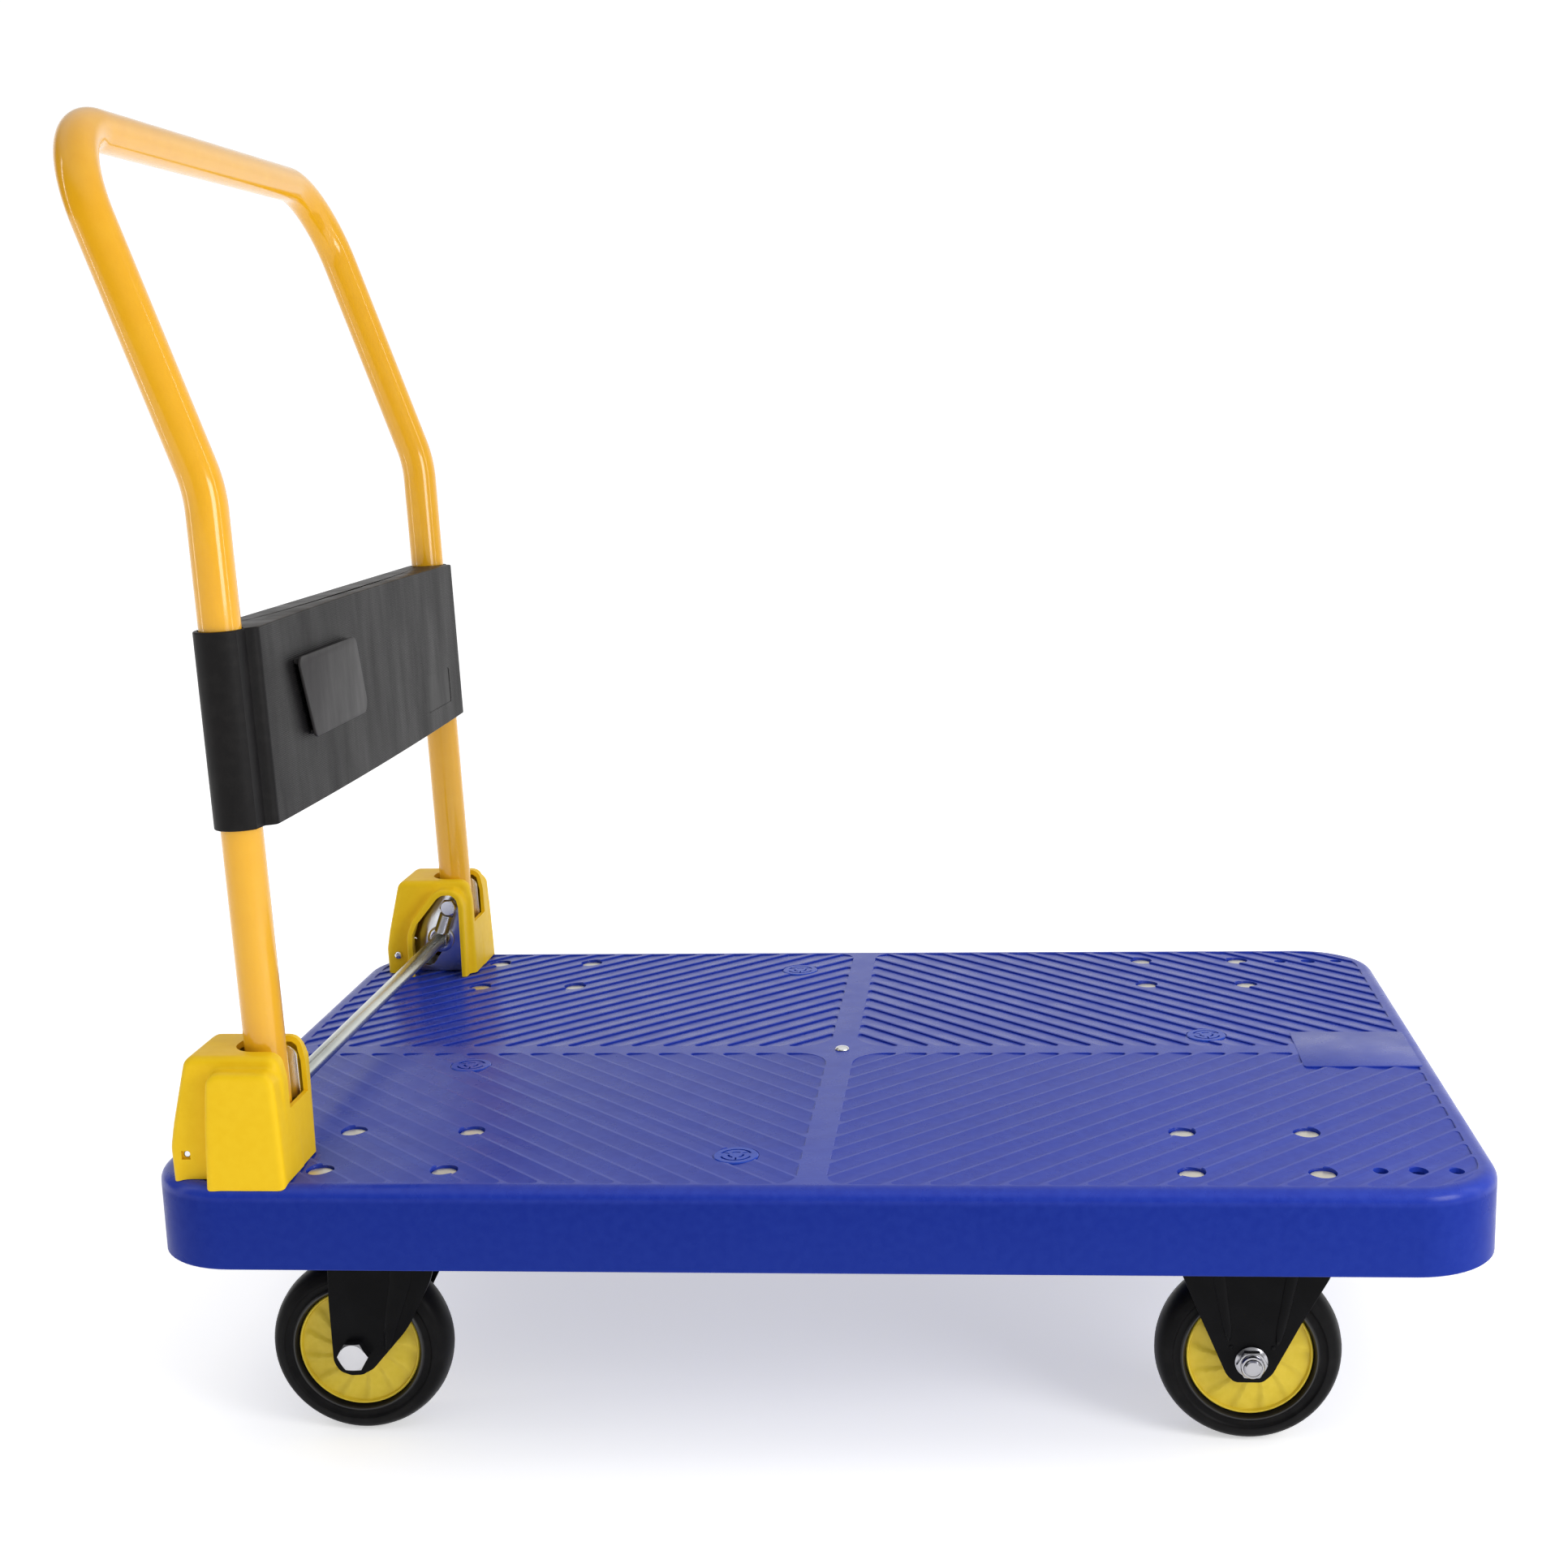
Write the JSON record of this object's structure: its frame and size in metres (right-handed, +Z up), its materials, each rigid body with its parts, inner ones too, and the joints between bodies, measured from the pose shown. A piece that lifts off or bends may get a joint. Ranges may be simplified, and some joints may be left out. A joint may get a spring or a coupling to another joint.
{
  "type": "folding platform cart",
  "caption": "Flat moulded platform cart with a fold-down tube handle, back panel, foot release bar, rear swivel casters and front rigid casters.",
  "frame": {"origin": "on the floor, under the centre of the whole cart's bounding box with the handle upright", "axes": "+X along the deck towards the rigid casters, +Y to the left of someone pushing, +Z up"},
  "size_m": [0.9199, 0.6, 0.9017],
  "materials": {
    "deck_plastic": "semi-gloss moulded polypropylene, blue",
    "cover_plastic": "satin moulded plastic, yellow",
    "hub_plastic": "satin moulded plastic, yellow",
    "panel_plastic": "matte black plastic, finely ribbed face",
    "tube_paint": "gloss yellow powder coat",
    "fork_paint": "satin black paint",
    "tyre_rubber": "matte black rubber",
    "zinc_steel": "bright zinc plate",
    "mount_steel": "pale zinc plate"
  },
  "bodies": {
    "chassis": {"deck": "deck_plastic", "deck_plug_1": "deck_plastic", "deck_plug_2": "deck_plastic", "deck_plug_3": "deck_plastic", "deck_plug_4": "deck_plastic", "centre_stud": "zinc_steel", "caster_bolts_rear_left": "mount_steel", "swivel_plate_rear_left": "fork_paint", "kingpin_rear_left": "zinc_steel", "ball_race_rear_left": "zinc_steel", "caster_bolts_rear_right": "mount_steel", "swivel_plate_rear_right": "fork_paint", "kingpin_rear_right": "zinc_steel", "ball_race_rear_right": "zinc_steel", "caster_bolts_front_left": "mount_steel", "fork_front_left": "fork_paint", "axle_bolt_front_left": "zinc_steel", "axle_nut_front_left": "zinc_steel", "axle_sleeve_front_left": "zinc_steel", "caster_bolts_front_right": "mount_steel", "fork_front_right": "fork_paint", "axle_bolt_front_right": "zinc_steel", "axle_nut_front_right": "zinc_steel", "axle_sleeve_front_right": "zinc_steel", "hinge_bracket_left": "zinc_steel", "hinge_bracket_right": "zinc_steel", "bracket_bolts_left": "zinc_steel", "bracket_bolts_right": "zinc_steel", "hinge_cover_left": "cover_plastic", "hinge_cover_right": "cover_plastic", "cover_screw_left": "zinc_steel", "cover_screw_right": "zinc_steel", "pivot_bolt_left": "zinc_steel", "pivot_bolt_right": "zinc_steel", "pivot_nut_left": "zinc_steel", "pivot_nut_right": "zinc_steel", "release_spring_left": "zinc_steel", "release_spring_right": "zinc_steel"},
    "handle": {"handle_tube": "tube_paint", "back_panel": "panel_plastic", "panel_tab": "panel_plastic"},
    "release_bar": {"release_bar": "zinc_steel", "bar_washer_left": "zinc_steel", "bar_washer_right": "zinc_steel"},
    "swivel_left": {"fork_rear_left": "fork_paint", "axle_bolt_rear_left": "zinc_steel", "axle_nut_rear_left": "zinc_steel", "axle_sleeve_rear_left": "zinc_steel"},
    "wheel_rear_left": {"tyre_rear_left": "tyre_rubber", "hub_rear_left": "hub_plastic"},
    "swivel_right": {"fork_rear_right": "fork_paint", "axle_bolt_rear_right": "zinc_steel", "axle_nut_rear_right": "zinc_steel", "axle_sleeve_rear_right": "zinc_steel"},
    "wheel_rear_right": {"tyre_rear_right": "tyre_rubber", "hub_rear_right": "hub_plastic"},
    "wheel_front_left": {"tyre_front_left": "tyre_rubber", "hub_front_left": "hub_plastic"},
    "wheel_front_right": {"tyre_front_right": "tyre_rubber", "hub_front_right": "hub_plastic"}
  },
  "joints": [
    {"name": "handle_fold", "type": "hinge", "parent": "chassis", "child": "handle", "pos_m": [-0.35789, 0, 0.267], "axis": [0, 1, 0], "range_deg": [0, 92]},
    {"name": "release_slide", "type": "slide", "parent": "chassis", "child": "release_bar", "axis": [-0.5547, 0, -0.8321], "range_m": [0, 0.0216], "stiffness_N_per_m": 1000, "springref_m": -0.012, "deforming": ["release_spring_left", "release_spring_right"]},
    {"name": "swivel_left_turn", "type": "hinge", "parent": "chassis", "child": "swivel_left", "pos_m": [-0.28159, 0.225, 0.14], "axis": [0, 0, 1], "continuous": true},
    {"name": "wheel_rear_left_roll", "type": "hinge", "parent": "swivel_left", "child": "wheel_rear_left", "pos_m": [-0.31459, 0.225, 0.0635], "axis": [0, 1, 0], "continuous": true},
    {"name": "wheel_front_left_roll", "type": "hinge", "parent": "chassis", "child": "wheel_front_left", "pos_m": [0.30181, 0.225, 0.0635], "axis": [0, 1, 0], "continuous": true},
    {"name": "swivel_right_turn", "type": "hinge", "parent": "chassis", "child": "swivel_right", "pos_m": [-0.28159, -0.225, 0.14], "axis": [0, 0, 1], "continuous": true},
    {"name": "wheel_rear_right_roll", "type": "hinge", "parent": "swivel_right", "child": "wheel_rear_right", "pos_m": [-0.31459, -0.225, 0.0635], "axis": [0, 1, 0], "continuous": true},
    {"name": "wheel_front_right_roll", "type": "hinge", "parent": "chassis", "child": "wheel_front_right", "pos_m": [0.30181, -0.225, 0.0635], "axis": [0, 1, 0], "continuous": true}
  ]
}
